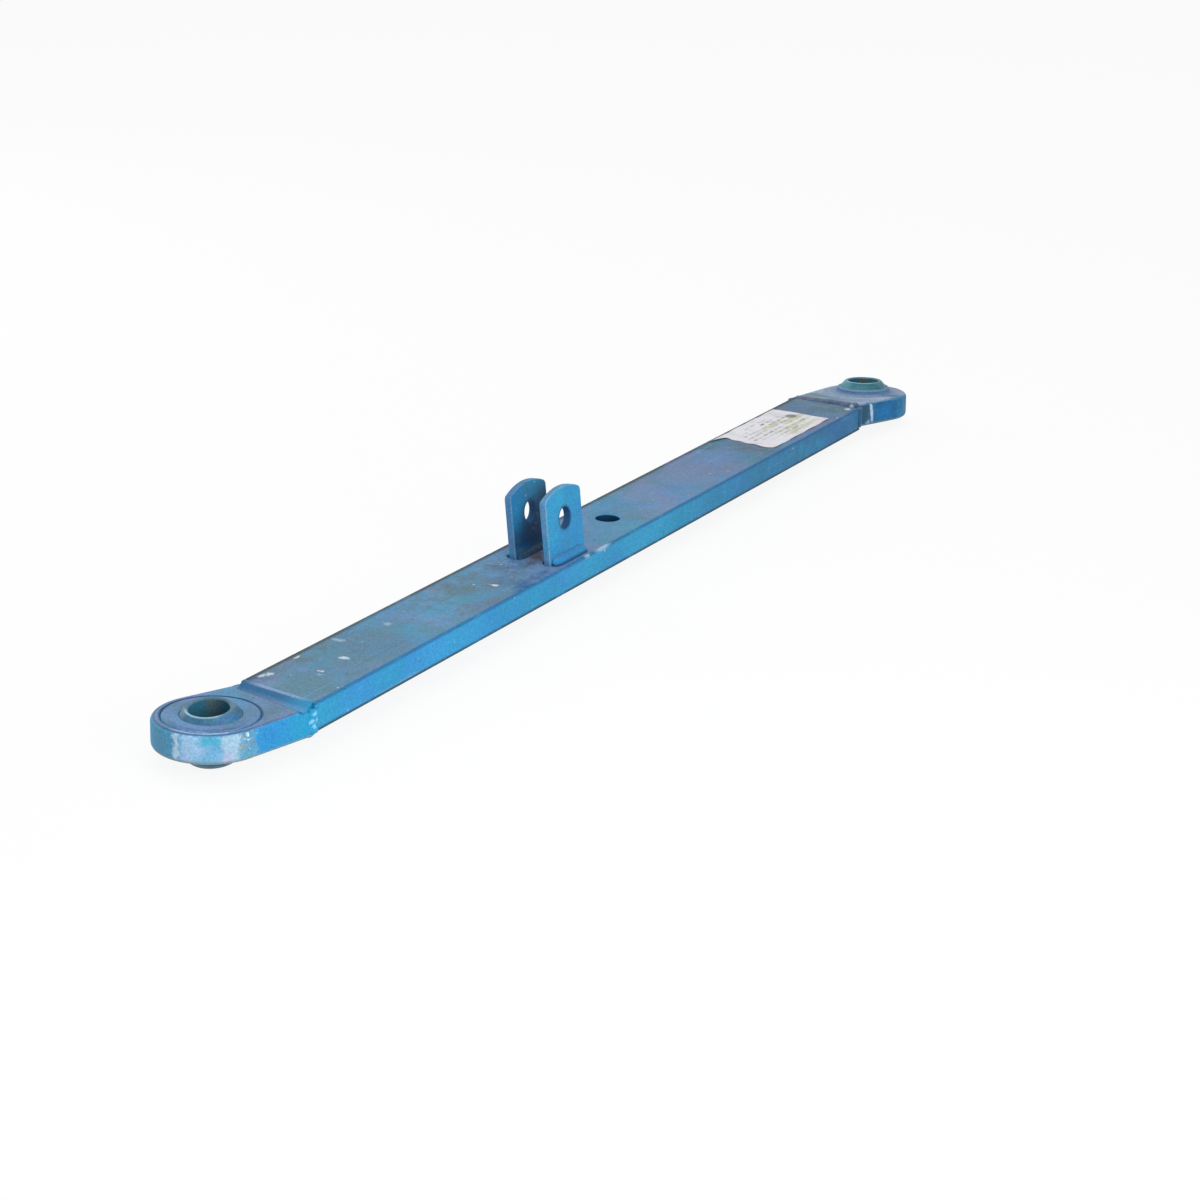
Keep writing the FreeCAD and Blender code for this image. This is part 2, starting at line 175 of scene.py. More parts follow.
def ragged(tree, place, scale, amount):
    # the place pushed about by a noise of the given scale, so that marks get uneven rims
    centred = vector(tree, "SUBTRACT", noise(tree, place, scale, 4.0, 0.65, output="Color"), (0.5,) * 3)
    return vector(tree, "ADD", place, vector(tree, "MULTIPLY", centred, (amount,) * 3))


def spots(tree, place, rows, soft):
    # 1 inside any of the ellipsoids, fading to 0 over the soft share of its size; a row is its centre and its
    # half sizes, in millimetres
    total = None
    for row in rows:
        centre, size = ([c / 1000 for c in part] for part in (row[:3], row[3:6]))
        scaled = addNode(tree, "Mapping", {"Vector": place, "Location": centre, "Scale": size},
                         vector_type="TEXTURE").outputs[0]
        share = step(tree, lengthOf(tree, scaled), 1.0 + soft, 1.0 - soft)
        total = share if total is None else maths(tree, "MAXIMUM", total, share)
    return total


def alongEdge(tree, xyz, y, z, width, soft):
    # 1 within the width of a line that runs along x at y and z, all in millimetres
    dy = maths(tree, "SUBTRACT", xyz[1], y / 1000)
    dz = maths(tree, "SUBTRACT", xyz[2], z / 1000)
    reach = maths(tree, "SQRT", maths(tree, "ADD", product(tree, dy, dy), product(tree, dz, dz)))
    return step(tree, reach, (width + soft) / 1000, (width - soft) / 1000)


def fromLine(tree, place, point, across):
    # distance from a line through a point in millimetres, measured along the two axes that lie across it
    moved = vector(tree, "SUBTRACT", place, tuple(c / 1000 for c in point))
    return lengthOf(tree, vector(tree, "MULTIPLY", moved, across))


def aroundAxis(tree, place, centre, axis):
    # distance from an axis, distance along it, and the flat vector from it
    moved = vector(tree, "SUBTRACT", place, tuple(centre))
    along = addNode(tree, "VectorMath", {0: moved, 1: tuple(axis)}, operation="DOT_PRODUCT").outputs["Value"]
    share = addNode(tree, "CombineXYZ", {0: along, 1: along, 2: along}).outputs[0]
    flat = vector(tree, "SUBTRACT", moved, vector(tree, "MULTIPLY", share, tuple(axis)))
    return lengthOf(tree, flat), along, flat


# painted steel: the layers that all pieces share. A mark is a colour, its share, and then the patches that
# break it up: their scale, the noise value where they begin, the one where they are full, and a shift of it.
# Other pairs are the values where a step begins and where it is full, and a third value is a band's softness

paint = {
    "blue": (38, 149, 195), "deep": (30, 126, 177), "violet": (57, 136, 203), "cyan": (42, 153, 190),
    "clouding": 9.0, "clouds": (0.35, 0.68),
    "hueScale": 17.0, "hues": (0.36, 0.64), "hueShift": (5.2, 1.1, 0.4), "hueShare": 0.42,
    "patchDetail": (6.0, 0.65, 0.4),    # detail, roughness and distortion of the patches' noise
    "rag": (190.0, 0.0085),             # scale, and metres by which the rims of marks are pushed about
    "looksUp": (0.62, 0.93),            # height of the normal
    "olive": (102, 114, 108), "purple": (128, 124, 152), "dirtTints": (11.0, 0.4, 0.6, (3.1, 0.4, 0.2)),
    "mottle": (19.0, 0.32, 0.64), "mottleShare": 0.5, "fineDirt": (150.0, 0.32, 0.68, (1.3, 0.1, 0.7)),
    "fineShare": 0.28, "evenShare": 0.4, "dirtDull": 0.25,
    "pale": (186, 205, 222), "line": (46, 62, 68), "fleckScale": 260.0, "fleckSize": (0.36, 0.22),
    "fleckPatches": (40.0, 0.56, 0.64, (0.7, 2.3, 0.9)), "darkAbove": 0.55, "paleBelow": 0.16,
    "corner": (0.25, 0.75),             # how far the surface has turned round a corner
    "grain": 0.3, "grainScale": 620.0, "grainSteps": (0.34, 0.66), "grainTones": ((137,) * 3, (231,) * 3),
    "gloss": 0.15, "roughness": 0.42, "roughScale": 60.0, "roughSpread": 0.12,
    "relief": 75.0, "fineRelief": 420.0, "fineHeight": 0.25, "bump": 0.3, "bumpSize": 0.0004,
}


def startCoat(name, values):
    # blue paint clouded by a broad noise, with the piece's values and the sockets that the later layers read
    material, tree = newMaterial(name)
    place = addNode(tree, "TexCoord").outputs["Object"]
    facing = parts(tree, addNode(tree, "NewGeometry").outputs["Normal"])
    clouding = values.get("clouding", paint["clouding"])
    cloud = step(tree, noise(tree, place, clouding, 5.0, 0.6), *paint["clouds"])
    clouded = blendColours(tree, cloud, paint["blue"], paint["deep"])
    shifted = vector(tree, "ADD", place, paint["hueShift"])
    hue = step(tree, noise(tree, shifted, paint["hueScale"], 4.0, 0.6), *paint["hues"])
    hues = blendColours(tree, hue, paint["violet"], paint["cyan"])
    return {
        "values": values, "material": material, "tree": tree, "place": place, "facing": facing,
        "xyz": parts(tree, place), "uneven": ragged(tree, place, *paint["rag"]),
        "up": step(tree, facing[2], *paint["looksUp"]),
        "colour": blendColours(tree, paint["hueShare"], clouded, hues),
        "dull": 0.0, "relief": noise(tree, place, paint["relief"], 5.0, 0.6),
    }


def lay(coat, share, colour, how="MIX"):
    coat["colour"] = blendColours(coat["tree"], share, coat["colour"], colour, how)


def patchy(coat, scale, low, high, shift=(0, 0, 0)):
    tree = coat["tree"]
    place = vector(tree, "ADD", coat["place"], shift)
    return step(tree, noise(tree, place, scale, *paint["patchDetail"]), low, high)


def layMark(coat, mark, *places):
    # the mark's colour where all the places and its own patches meet; a mark may be given by its name, and a
    # place as a value with the name of its step (two numbers) or band (three)
    tree, values = coat["tree"], coat["values"]
    colour, share, *patches = values[mark] if isinstance(mark, str) else mark
    shares = []
    for place in places:
        if isinstance(place, tuple):
            value, limits = place[0], values[place[1]]
            place = band(tree, value, *limits) if len(limits) == 3 else step(tree, value, *limits)
        shares.append(place)
    if patches:
        shares.append(patchy(coat, *patches))
    lay(coat, product(tree, *shares, share), colour)


def marked(coat, rows, soft, rag=None):
    # 1 inside the ellipsoids, their rims pushed about by the coat's own noise or by another
    place = ragged(coat["tree"], coat["place"], *rag) if rag else coat["uneven"]
    return spots(coat["tree"], place, rows, soft)


def layDirt(coat):
    # grey-green and purple-grey dirt in patches, on the faces that look up
    tree = coat["tree"]
    tint = blendColours(tree, patchy(coat, *paint["dirtTints"]), paint["olive"], paint["purple"])
    amount = maths(tree, "ADD", product(tree, patchy(coat, *paint["mottle"]), paint["mottleShare"]),
                   product(tree, patchy(coat, *paint["fineDirt"]), paint["fineShare"]))
    amount = product(tree, maths(tree, "ADD", amount, paint["evenShare"]), coat["up"], coat["values"]["dirt"])
    lay(coat, amount, tint)
    coat["dull"] = product(tree, amount, paint["dirtDull"])


def layFlecks(coat):
    # small dark pits and pale nicks where fine cells meet the patches that let them through
    tree, share = coat["tree"], coat["values"]["flecks"]
    cells = addNode(tree, "TexVoronoi", {"Vector": coat["place"], "Scale": paint["fleckScale"]}).outputs
    small = step(tree, cells["Distance"], *paint["fleckSize"])
    which = parts(tree, cells["Color"])[0]
    gate = patchy(coat, *paint["fleckPatches"])
    dark = maths(tree, "GREATER_THAN", which, paint["darkAbove"])
    pale = maths(tree, "LESS_THAN", which, paint["paleBelow"])
    lay(coat, product(tree, small, gate, dark, share), paint["line"])
    lay(coat, product(tree, small, gate, pale, share), paint["pale"])


def layEdgeHighlightAndWear(coat, axis, mark):
    # a broken line where the surface turns a corner, here the ears' painted edge highlight with worn paint:
    # the normal lies between the axis and straight across
    tree = coat["tree"]
    squared = product(tree, coat["facing"][axis], coat["facing"][axis])
    diagonal = product(tree, squared, maths(tree, "SUBTRACT", 1.0, squared), 4.0)
    layMark(coat, mark, step(tree, diagonal, *paint["corner"]))


def finishCoat(coat):
    # fine grain in the colour, duller where there is dirt, a little relief, and the sockets filled
    tree, place, values = coat["tree"], coat["place"], paint | coat["values"]
    shader = tree.nodes["Principled BSDF"]
    grain = step(tree, noise(tree, place, values["grainScale"], 4.0, 0.7), *values["grainSteps"])
    lay(coat, values["grain"], blendColours(tree, grain, *values["grainTones"]), "OVERLAY")
    tree.links.new(coat["colour"], shader.inputs["Base Color"])
    spread = product(tree, noise(tree, place, values["roughScale"]), values["roughSpread"])
    rough = maths(tree, "ADD", maths(tree, "ADD", spread, coat["dull"]), values["roughness"])
    tree.links.new(rough, shader.inputs["Roughness"])
    shader.inputs["Specular IOR Level"].default_value = values["gloss"]
    fine = product(tree, noise(tree, place, values["fineRelief"], 3.0, 0.5), values["fineHeight"])
    bump = addNode(tree, "Bump", {"Height": maths(tree, "ADD", fine, coat["relief"]),
                                  "Strength": values["bump"], "Distance": values["bumpSize"]})
    tree.links.new(bump.outputs[0], shader.inputs["Normal"])
    return coat["material"]


# the bar's coat

barCoat = {
    "rearFade": (0.45, 0.95), "tealRear": ((34, 88, 122), 0.78, 26.0, 0.2, 0.6),
    "dirt": 0.62, "flecks": 0.55,
    "nearSide": (-0.6, -0.9), "blueSpan": (0.875, 0.934, 0.016), "blueRear": ((34, 104, 178), 0.36),
    "patchRag": (45.0, 0.03), "patchSoft": 0.6, "patchBreaks": (60.0, 0.22, 0.6),
    "patches": [
        # colour, share, ellipsoids
        ((88, 98, 100), 0.55, [(122, 8, 17, 26, 9, 3), (75, 5, 17, 20, 9, 3), (300, -8, 17, 45, 18, 3),
                               (345, 0, 17, 40, 14, 3)]),    # grey dirt
        ((104, 88, 104), 0.5, [(281, -43, 17, 22, 8, 3), (300, -50, 17, 18, 6, 3),
                                (332, -22, 17, 14, 10, 3)]),    # purple
        ((96, 64, 48), 0.78, [(405, -24, 17, 13, 9, 3), (415, -17, 17, 12, 7, 3),
                              (392, -26, 17, 8, 5, 3)]),    # rust between the ears
        ((20, 78, 138), 0.85, [(358, -47, 17, 24, 9, 3), (338, -53, 17, 16, 5, 3),
                               (62, 12, 17, 8, 5, 3)]),    # deep blue
        ((56, 78, 96), 0.55, [(376, -17, 17, 24, 15, 3), (352, -30, 17, 18, 9, 3)]),    # shade by the ears
        ((70, 88, 92), 0.6, [(778, -22, 17, 13, 34, 3), (760, 6, 17, 16, 8, 3)]),    # stain by the label
        ((118, 138, 164), 0.45, [(948, -18, 17, 10, 30, 3)]),    # gum behind the label
    ],
    "streaks": {"Scale": (5.0, 230.0, 230.0), "Rotation": (0, 0, 0.06)},    # draws the noise out along x
    "paleStreaks": (0.64, 0.72), "paleScratch": (paint["pale"], 0.2),
    "darkStreaks": (0.36, 0.3), "darkScratch": (paint["line"], 0.32),
    "chips": [
        # mark, ellipsoids, softness
        ((paint["pale"], 0.38), [
            (162.9, 3.6, 17, 2.6, 5.0, 3), (96, -25, 17, 1.5, 2.5, 3), (212, -8, 17, 3, 3, 3)], 0.5),
        (((206, 218, 228), 0.74), [
            (72, 8.6, 17, 3.2, 2.4, 3), (78, 5.6, 17, 3.6, 2.3, 3), (117, 8.5, 17, 3.6, 1.6, 3),
            (133.9, -21.4, 17, 2.3, 4.2, 3), (102.6, -21.8, 17, 1.6, 2.8, 3), (331, -28.4, 17, 2.2, 3.4, 3),
            (946, -46, 17, 2.8, 2.2, 3)], 0.4),
    ],
    "edges": [
        # side in y and in z (0 low, 1 high), half width and softness in millimetres, mark; dark lines of
        # grime and painted shade
        (1, 1, 4.4, 2.0, ((52, 64, 64), 0.88, 28.0, 0.2, 0.5)),
        (0, 0, 2.6, 1.2, ((34, 56, 64), 0.88, 28.0, 0.2, 0.5)),
        (0, 1, 1.9, 0.9, ((24, 92, 142), 0.72, 28.0, 0.2, 0.5)),
    ],
    # a pale streak on the near top edge: a painted highlight, partly worn paint
    "highlightSpots": ([(459, -53.2, 17, 11, 1.7, 2.2), (434, -52.8, 17, 4, 1.5, 2)], 0.6, (120.0, 0.002)),
    "rubbed": ((176, 204, 224), 0.62),
    "hole": (529.0, -19.5, 0.0), "holeRim": (0.0108, 0.0104), "holeTop": (0.0168, 0.0158),
    "holeShade": ((18, 46, 74), 0.92),
}


def barPaint(values):
    # teal towards the rear, dirt and patches on top with painted shade by the ears, scratches along it,
    # chips, dark edge lines of grime and painted shade, a painted highlight with worn paint on the near top
    # edge, and painted shade in the hole
    coat = startCoat("barPaint", values)
    tree, place, xyz = coat["tree"], coat["place"], coat["xyz"]
    layMark(coat, "tealRear", (xyz[0], "rearFade"))
    layDirt(coat)
    layMark(coat, "blueRear", (xyz[0], "blueSpan"), (coat["facing"][1], "nearSide"))
    for colour, share, rows in values["patches"]:
        within = marked(coat, rows, values["patchSoft"], values["patchRag"])
        layMark(coat, (colour, share, *values["patchBreaks"]), within, coat["up"])
    layFlecks(coat)
    stretched = addNode(tree, "Mapping", {"Vector": place, **values["streaks"]}).outputs[0]
    streaks = noise(tree, stretched, 1.0, 5.0, 0.6)
    layMark(coat, "paleScratch", (streaks, "paleStreaks"))
    layMark(coat, "darkScratch", (streaks, "darkStreaks"))
    for mark, *where in values["chips"]:
        layMark(coat, mark, marked(coat, *where))
    ends = barLow * 1000, barHigh * 1000
    for side, height, width, soft, mark in values["edges"]:
        layMark(coat, mark, alongEdge(tree, xyz, ends[side].y, ends[height].z, width, soft))
    layMark(coat, "rubbed", marked(coat, *values["highlightSpots"]))
    fromPin = fromLine(tree, place, values["hole"], (1, 1, 0))
    layMark(coat, "holeShade", (fromPin, "holeRim"), (xyz[2], "holeTop"))
    return finishCoat(coat)


# the eyes' and rings' coat

eyeCoat = {
    "rearFade": (0.6, 1.0), "rearDeep": ((30, 96, 150), 0.6, 30.0, 0.2, 0.6),
    "dirt": 0.66, "flecks": 0.5,
    "rim": (0.8, 0.965, 0.05), "rimNavy": ((30, 78, 124), 0.8, 45.0, 0.1, 0.4),
    "looksDown": (-0.15, -0.45), "under": ((122, 140, 140), 0.6, 45.0, 0.15, 0.45),
    # the groove round the ring, by radii in metres, with grime and painted shade in its gap, and its near
    # side, with steps in metres that way
    # the dark line in the gap is grime and painted shade
    "gap": (0.03395, 0.03605, 0.0005), "grimeAndShade": ((26, 60, 98), 0.85, 60.0, 0.1, 0.35),
    "foot": (0.029, 0.0352, 0.0012), "footBlue": ((48, 98, 138), 0.72, 50.0, 0.1, 0.4),
    # a painted highlight on the land outside the groove, on its near side
    "land": (0.0366, 0.0378, 0.0004), "landHighlight": ((196, 220, 240), 0.85, 55.0, 0.36, 0.52),
    "wornSide": (0.88, 0.47), "footFrom": (-0.008, -0.026), "landFrom": (-0.027, -0.034),
}
sheenAndWearCoat = {
    "facingCamera": -151.6, "wobble": (120.0, 6.0, 0.7), "wobbleAngle": 26.0, "wobbleHeight": 0.00022,
    "side": (0.86, 0.7), "heights": (-0.0076, 0.0128, 0.0012),
    # painted reflections: the pale bands on the side that faces the camera stand in for light off the glossy
    # paint; the bluer bands are paint
    "bands": [
        # from angle, to angle and softness in degrees round the eye, step in height if any, mark
        (-84, -52, 6, None, ((52, 138, 184), 0.5)),
        (-60, -30, 7, None, ((84, 140, 166), 0.6)),
        (-31, -25, 2, None, ((184, 208, 222), 0.9)),
        (-23, 6, 5, None, ((162, 196, 228), 0.9)),
        (0, 20, 6, None, ((98, 160, 196), 0.8)),
        (17, 37, 5, None, ((158, 188, 206), 0.9)),
        (-4, 18, 5, (0.0055, 0.0085), ((56, 162, 190), 0.88)),
        (-14, 18, 6, (0.0035, -0.0005), ((126, 170, 210), 0.55)),
        (-4, 14, 5, (0.0, -0.004), ((92, 172, 200), 0.7)),
        (18, 30, 4, (0.0035, -0.0005), ((172, 170, 208), 0.65)),
        (-20, -12, 4, (0.0035, -0.0005), ((172, 170, 208), 0.35)),
        (-78, 36, 5, None, ((104, 148, 178), 0.28, 210.0, 0.32, 0.68)),
        (-60, 60, 5, (-0.0035, -0.007), ((120, 140, 142), 0.55)),
    ],
    "gougeAngles": (36, 54, 4), "gougeHeights": (0.0, 0.0128, 0.0015),
    "gouges": [
        ((96, 152, 182), 0.45),    # bruised paint
        ((140, 146, 138), 0.75, 230.0, 0.48, 0.58),    # grey chips
        ((128, 104, 86), 0.7, 260.0, 0.56, 0.64, (0.4, 0.9, 0.1)),    # rust
        ((206, 226, 234), 0.9, 240.0, 0.58, 0.64, (2.4, 0.2, 0.6)),    # bare nicks
    ],
    "belowAngles": (34, 58, 5), "belowHeights": (0.003, -0.002),
    "belowGreen": ((104, 152, 164), 0.6, 80.0, 0.2, 0.6),
    "topLilac": ((122, 136, 182), 0.36, 34.0, 0.3, 0.62, (0.9, 0.2, 0.6)),
}
hubSideCoat = {
    "side": (0.75, 0.45), "sideDark": ((24, 76, 112), 0.62, 48.0, 0.34, 0.62, (1.7, 0.6, 0.1)),
    "sideMarks": [
        # mark, ellipsoids, softness, scale and reach of the noise that pushes their rims about
        (((50, 78, 92), 0.8), [
            (965, -54, 7, 9, 8, 16), (1047, -60, 5, 20, 16, 22), (1005, -62, -7, 60, 16, 4)],
         0.5, (60.0, 0.012)),
        (((30, 120, 186), 0.7), [(996, -63, 6, 11, 8, 8)], 0.6, (60.0, 0.012)),
    ],
    "dust": ((172, 190, 210), 0.62, 30.0, 0.25, 0.6),
    "purple": ((120, 116, 166), 0.5, 44.0, 0.48, 0.66, (2.2, 0.1, 0.4)),
    "dull": ((46, 84, 92), 0.45, 75.0, 0.52, 0.7, (0.3, 0.3, 1.9)),
    "strip": ([(976.2, -53, 14, 1.9, 8, 5.5), (977.2, -53, 6, 2.2, 8, 8.0)], 0.35, (160.0, 0.003)),
    "stripBright": ((196, 216, 236), 0.9),
    "chip": ([(971.5, -53, 0, 3.0, 6, 2.6)], 0.5), "chipPale": ((176, 204, 214), 0.6),
    "hubFacing": (0.05, 0.25), "hubReach": (0.032, 0.03), "hub": ((104, 126, 156), 0.55),
}


def layGroove(coat, reach, flat):
    # grime and painted shade in the gap round the ring, a darker foot on the ring, and a broken painted
    # highlight on the land outside, both on the near side
    toNearSide = towards(coat["tree"], flat, coat["values"]["wornSide"])
    layMark(coat, "grimeAndShade", (reach, "gap"))
    layMark(coat, "footBlue", (reach, "foot"), (toNearSide, "footFrom"), coat["up"])
    layMark(coat, "landHighlight", (reach, "land"), (toNearSide, "landFrom"))


def laySheenAndWearSide(coat, reach, flat):
    # the front eye's side: bands round its cylinder, set by angle from the camera's side and each fading into
    # the next, mostly painted reflections; then real gouges in the paint
    tree, values = coat["tree"], coat["values"]
    turn = math.radians(-values["facingCamera"])
    ahead = towards(tree, flat, (math.cos(turn), -math.sin(turn)))
    across = towards(tree, flat, (math.sin(turn), math.cos(turn)))
    angle = product(tree, maths(tree, "ARCTAN2", across, ahead), 180 / math.pi)
    centred = maths(tree, "SUBTRACT", noise(tree, coat["place"], *values["wobble"]), 0.5)
    wobble = product(tree, centred, values["wobbleAngle"])
    angle = maths(tree, "ADD", angle, wobble)
    height = maths(tree, "ADD", coat["xyz"][2], product(tree, wobble, values["wobbleHeight"]))
    side = step(tree, maths(tree, "ABSOLUTE", coat["facing"][2]), *values["side"])
    inPatch = product(tree, side, band(tree, height, *values["heights"]))
    for low, high, soft, heights, mark in values["bands"]:
        level = [step(tree, height, *heights)] if heights else []
        layMark(coat, mark, inPatch, *level, band(tree, angle, low, high, soft))
    for mark in values["gouges"]:
        layMark(coat, mark, side, (angle, "gougeAngles"), (height, "gougeHeights"))
    layMark(coat, "belowGreen", side, (angle, "belowAngles"), (height, "belowHeights"))
    layMark(coat, "topLilac", coat["up"])


def layHubSide(coat, reach, flat):
    # the rear eye: dark and bright zones on its side, dust on top, the pale strip by its weld, and the hub
    tree, values, facing = coat["tree"], coat["values"], coat["facing"]
    side = step(tree, maths(tree, "ABSOLUTE", facing[2]), *values["side"])
    layMark(coat, "sideDark", side)
    for mark, *where in values["sideMarks"]:
        layMark(coat, mark, side, marked(coat, *where))
    layMark(coat, "dust", coat["up"])
    layMark(coat, "purple", coat["up"])
    layMark(coat, "dull")
    layMark(coat, "stripBright", side, marked(coat, *values["strip"]))
    layMark(coat, "chipPale", marked(coat, *values["chip"]))
    layMark(coat, "hub", (facing[2], "hubFacing"), (reach, "hubReach"))


def eyePaint(name, values, centre, axis, laySide):
    # a forging with its ring: deeper to the rear, dirty on top, navy round the rims, greyer below
    coat = startCoat(name, values)
    facing = coat["facing"]
    layMark(coat, "rearDeep", (coat["xyz"][0], "rearFade"))
    layDirt(coat)
    layFlecks(coat)
    reach, along, flat = aroundAxis(coat["tree"], coat["place"], centre, axis)
    layGroove(coat, reach, flat)
    layMark(coat, "rimNavy", (facing[2], "rim"))
    laySide(coat, reach, flat)
    layMark(coat, "under", (facing[2], "looksDown"))
    return finishCoat(coat)


# the balls' coat

ballCoat = {
    "clouding": 20.0, "gloss": 0.25, "roughness": 0.34,
    "domes": {"frontBallPaint": ((66, 122, 150), (40, 90, 116)),
              "rearBallPaint": ((70, 138, 156), (38, 96, 108))},
    "domePatches": (60.0, 0.3, 0.7), "blotch": ((92, 116, 122), 0.4, 90.0, 0.52, 0.7, (1, 2, 3)),
    "domeMarks": [
        # mark, ellipsoids, softness
        (((36, 88, 156), 0.48), [
            (-5.5, -18.3, 17, 4.2, 3.0, 3), (0, -20.9, 15, 3.6, 3.0, 3), (-11, -17.3, 15, 3.0, 2.4, 3)], 0.6),
        # painted shade of the gap between the ball and its ring, on the dome's right
        (((20, 58, 90), 0.7), [(9.0, -16.2, 17.6, 2.6, 4.6, 3), (14.5, -12.0, 17.0, 2.4, 3.4, 3)], 0.5),
    ],
    # radii, and heights along the bore, in metres
    "lips": {"frontBallPaint": (76, 106, 126), "rearBallPaint": (64, 114, 128)},
    "lipPatches": (55.0, 0.3, 0.6), "lipLeast": 0.4, "lipRim": (0.0178, 0.0166), "lipHeight": (0.0172, 0.018),
    # a painted highlight on the lip's near side
    "rubbed": ((156, 200, 222), 0.65), "rubbedRim": (0.0152, 0.0172, 0.0004), "rubbedSide": (-0.95, -0.1),
    "rubbedFrom": (0.3, 0.75),
    "bore": ((46, 104, 126), 0.95), "boreRim": (0.01465, 0.0144), "boreHeight": (0.0189, 0.0183),
    "streak": ((112, 100, 66), 0.38, 90.0, 0.25, 0.5),
    "streakSide": (0.93, 0.37), "streakFrom": (0.92, 1.2, 0.08),
}


def ballPaint(name, values, mount):
    # greasy dome with painted shade of the ring's gap at its right, lip round the bore with a painted
    # highlight on its near side, and a dark bore with a brown streak
    coat = startCoat(name, values)
    tree = coat["tree"]
    reach, along, flat = aroundAxis(tree, coat["place"], mount["pos_m"], Vector(mount["axis"]).normalized())
    lay(coat, 1.0, blendColours(tree, patchy(coat, *values["domePatches"]), *values["domes"][name]))
    layMark(coat, "blotch")
    for mark, *where in values["domeMarks"]:
        layMark(coat, mark, marked(coat, *where))
    out = maths(tree, "ABSOLUTE", along)
    lip = product(tree, step(tree, reach, *values["lipRim"]), step(tree, out, *values["lipHeight"]))
    worn = product(tree, patchy(coat, *values["lipPatches"]), 1 - values["lipLeast"])
    lay(coat, product(tree, lip, maths(tree, "ADD", worn, values["lipLeast"])), values["lips"][name])
    outward = vector(tree, "NORMALIZE", flat)
    toHighlight = towards(tree, outward, values["rubbedSide"])
    layMark(coat, "rubbed", lip, (reach, "rubbedRim"), (toHighlight, "rubbedFrom"))
    inside = product(tree, step(tree, reach, *values["boreRim"]), step(tree, out, *values["boreHeight"]))
    layMark(coat, "bore", inside)
    layMark(coat, "streak", inside, (towards(tree, outward, values["streakSide"]), "streakFrom"))
    return finishCoat(coat)


# the ears' coat

earCoat = {
    "clouding": 22.0, "dirt": 0.45, "flecks": 0.35,
    "frontFacing": (-0.55, -0.85), "frontGrey": ((112, 136, 166), 0.6, 60.0, 0.2, 0.6),
    # pale corner lines: painted edge highlights with worn paint
    "worn": ((122, 160, 190), 0.6, 90.0, 0.3, 0.55),
    # painted shade over the whole far ear, which the near ear keeps from the light
    "farEar": (-0.0185, -0.015), "farEarShade": ((26, 74, 118), 0.3),
    "innerFrom": (-0.0125, -0.0105), "innerFacing": (-0.6, -0.9),
    "shadeSlope": -0.55, "shadeFrom": (-0.163, -0.192), "innerShade": ((14, 32, 56), 0.88),
    # painted shade low on both ears, where they meet the bar
    "foot": (0.022, 0.018), "footBlue": ((20, 74, 124), 0.45, 70.0, 0.2, 0.55),
    "pinHole": (420.6, 0.0, 49.5), "holeRim": (0.0093, 0.0089), "holeShade": ((18, 60, 104), 0.8),
    "holeRing": (0.009, 0.0105, 0.0006), "ringBlue": ((22, 72, 120), 0.7, 90.0, 0.25, 0.5),
    "teal": ((64, 112, 128), 0.35, 46.0, 0.5, 0.72, (0.2, 1.4, 0.3)),
    "footChip": ([(399.5, -33, 21, 2.6, 3, 2.6)], 0.25), "chipPale": ((214, 228, 228), 0.9),
}


def earPaint(values):
    # grey front edges, pale corners of painted highlight and worn paint, painted shade low inside the far ear
    # and over all of it, painted shade at the feet, and painted shade in the pin holes with a blue ring round
    # them
    coat = startCoat("earPaint", values)
    tree, xyz, facing = coat["tree"], coat["xyz"], coat["facing"]
    layDirt(coat)
    layMark(coat, "frontGrey", (facing[0], "frontFacing"))
    layEdgeHighlightAndWear(coat, 1, "worn")
    sloping = maths(tree, "ADD", xyz[2], product(tree, xyz[0], values["shadeSlope"]))
    layMark(coat, "innerShade", (xyz[1], "innerFrom"), (facing[1], "innerFacing"), (sloping, "shadeFrom"))
    layMark(coat, "farEarShade", (xyz[1], "farEar"))
    # painted shade low on the ears
    layMark(coat, "footBlue", (xyz[2], "foot"))
    fromPin = fromLine(tree, coat["place"], values["pinHole"], (1, 0, 1))
    layMark(coat, "holeShade", (fromPin, "holeRim"))
    layMark(coat, "ringBlue", (fromPin, "holeRing"))
    layMark(coat, "teal")
    layFlecks(coat)
    layMark(coat, "chipPale", marked(coat, *values["footChip"]))
    return finishCoat(coat)


# the welds' coat

